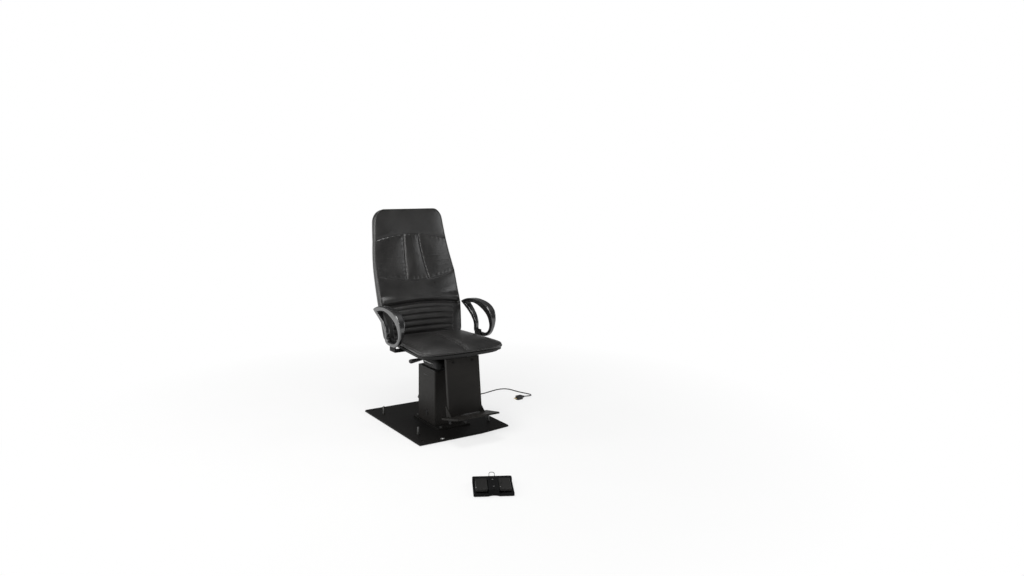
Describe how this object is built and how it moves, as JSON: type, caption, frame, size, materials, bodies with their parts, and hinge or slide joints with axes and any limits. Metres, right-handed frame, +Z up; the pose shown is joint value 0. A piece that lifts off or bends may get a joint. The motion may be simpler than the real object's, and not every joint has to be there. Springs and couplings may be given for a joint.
{
  "type": "ophthalmic examination chair",
  "caption": "Padded examination chair on a square lift column and floor plate, with a reclining back, loop arms, a footrest, a lock lever and a separate foot switch.",
  "frame": {"origin": "on the axis of the lift column, at floor level, under the middle pad of the base plate", "axes": "+Z up; -Y is the way a sitter faces; +X to the sitter's left, which is the right of a person who looks at the chair from in front"},
  "size_m": [1.2054, 1.745, 1.2702],
  "materials": {
    "base_paint": "satin",
    "column_paint": "satin",
    "mechanism_paint": "satin",
    "gloss_black": "gloss",
    "zinc_steel": "satin",
    "bright_metal": "polished",
    "actuator_alloy": "satin",
    "motor_paint": "satin",
    "pin_brass": "satin",
    "guide_plastic": "matte",
    "black_plastic": "satin",
    "pan_plastic": "satin",
    "arm_plastic": "semi-gloss",
    "black_leather": "soft sheen",
    "rubber_parts": "matte",
    "cord_rubber": "matte",
    "switch_paint": "satin",
    "pedal_paint": "satin"
  },
  "bodies": {
    "base": {"base_plate": "base_paint", "plate_pads": "rubber_parts", "levelling_screws": "zinc_steel", "levelling_nuts": "zinc_steel", "earth_cap": "bright_metal", "column_foot": "base_paint", "foot_bolts": "zinc_steel", "column_housing": "column_paint", "column_cap": "black_plastic", "column_plug": "black_plastic", "upper_guides": "guide_plastic", "actuator_body": "actuator_alloy", "actuator_motor": "motor_paint", "control_box": "guide_plastic", "cord_gland": "black_plastic", "cord_tail": "cord_rubber", "cord_coil": "cord_rubber", "cord_lead": "cord_rubber", "cord_tie": "black_plastic", "plug_body": "cord_rubber", "plug_pins": "pin_brass", "switch_base": "switch_paint", "switch_top": "switch_paint", "switch_screws": "bright_metal", "switch_feet": "rubber_parts", "pedal_pins": "zinc_steel", "leaf_springs": "bright_metal"},
    "lift": {"slider_column": "column_paint", "lower_guides": "guide_plastic", "lift_head": "gloss_black", "push_rod": "bright_metal", "rod_pin": "zinc_steel", "swivel_bush": "pin_brass", "bearing_lower": "zinc_steel"},
    "seat": {"swivel_spindle": "zinc_steel", "bearing_upper": "zinc_steel", "seat_mechanism": "mechanism_paint", "seat_pan": "pan_plastic", "seat_bolts": "zinc_steel", "seat_cushion": "black_leather", "arm_left": "arm_plastic", "arm_right": "arm_plastic", "arm_brackets": "mechanism_paint", "arm_bolts": "zinc_steel", "rest_hangers": "mechanism_paint", "rest_panel": "column_paint", "rest_tread": "column_paint", "rest_bolts": "mechanism_paint", "rest_stops": "rubber_parts", "lever_pin": "zinc_steel", "recline_pin": "zinc_steel"},
    "lever": {"lock_lever": "mechanism_paint", "lever_grip": "black_plastic"},
    "back": {"back_bracket": "mechanism_paint", "back_bolts": "zinc_steel", "back_shell": "pan_plastic", "back_cushion": "black_leather"},
    "left_pedal": {"pedal_left": "pedal_paint"},
    "right_pedal": {"pedal_right": "pedal_paint"},
    "bail": {"switch_bail": "zinc_steel"}
  },
  "joints": [
    {"name": "seat_lift", "type": "slide", "parent": "base", "child": "lift", "axis": [0, 0, 1], "range_m": [0, 0.2]},
    {"name": "seat_swivel", "type": "hinge", "parent": "lift", "child": "seat", "pos_m": [0, 0, 0.43], "axis": [0, 0, 1], "continuous": true},
    {"name": "lock_lever", "type": "hinge", "parent": "seat", "child": "lever", "pos_m": [-0.1, -0.14, 0.449], "axis": [0, 1, 0], "range_deg": [0, 4]},
    {"name": "back_recline", "type": "hinge", "parent": "seat", "child": "back", "pos_m": [0, 0.175, 0.45], "axis": [-1, 0, 0], "range_deg": [0, 25]},
    {"name": "left_pedal_press", "type": "hinge", "parent": "base", "child": "left_pedal", "pos_m": [-0.29688, -0.95556, 0.0265], "axis": [0.878, -0.4787, 0], "range_deg": [0, 2.5], "stiffness_Nm_per_rad": 25, "springref_deg": -1.72},
    {"name": "right_pedal_press", "type": "hinge", "parent": "base", "child": "right_pedal", "pos_m": [-0.1996, -1.0086, 0.0265], "axis": [0.878, -0.4787, 0], "range_deg": [0, 2.5], "stiffness_Nm_per_rad": 25, "springref_deg": -1.72},
    {"name": "bail_swing", "type": "hinge", "parent": "base", "child": "bail", "pos_m": [-0.2255, -0.94037, 0.022], "axis": [0.878, -0.4787, 0], "range_deg": [-56, 38]}
  ]
}
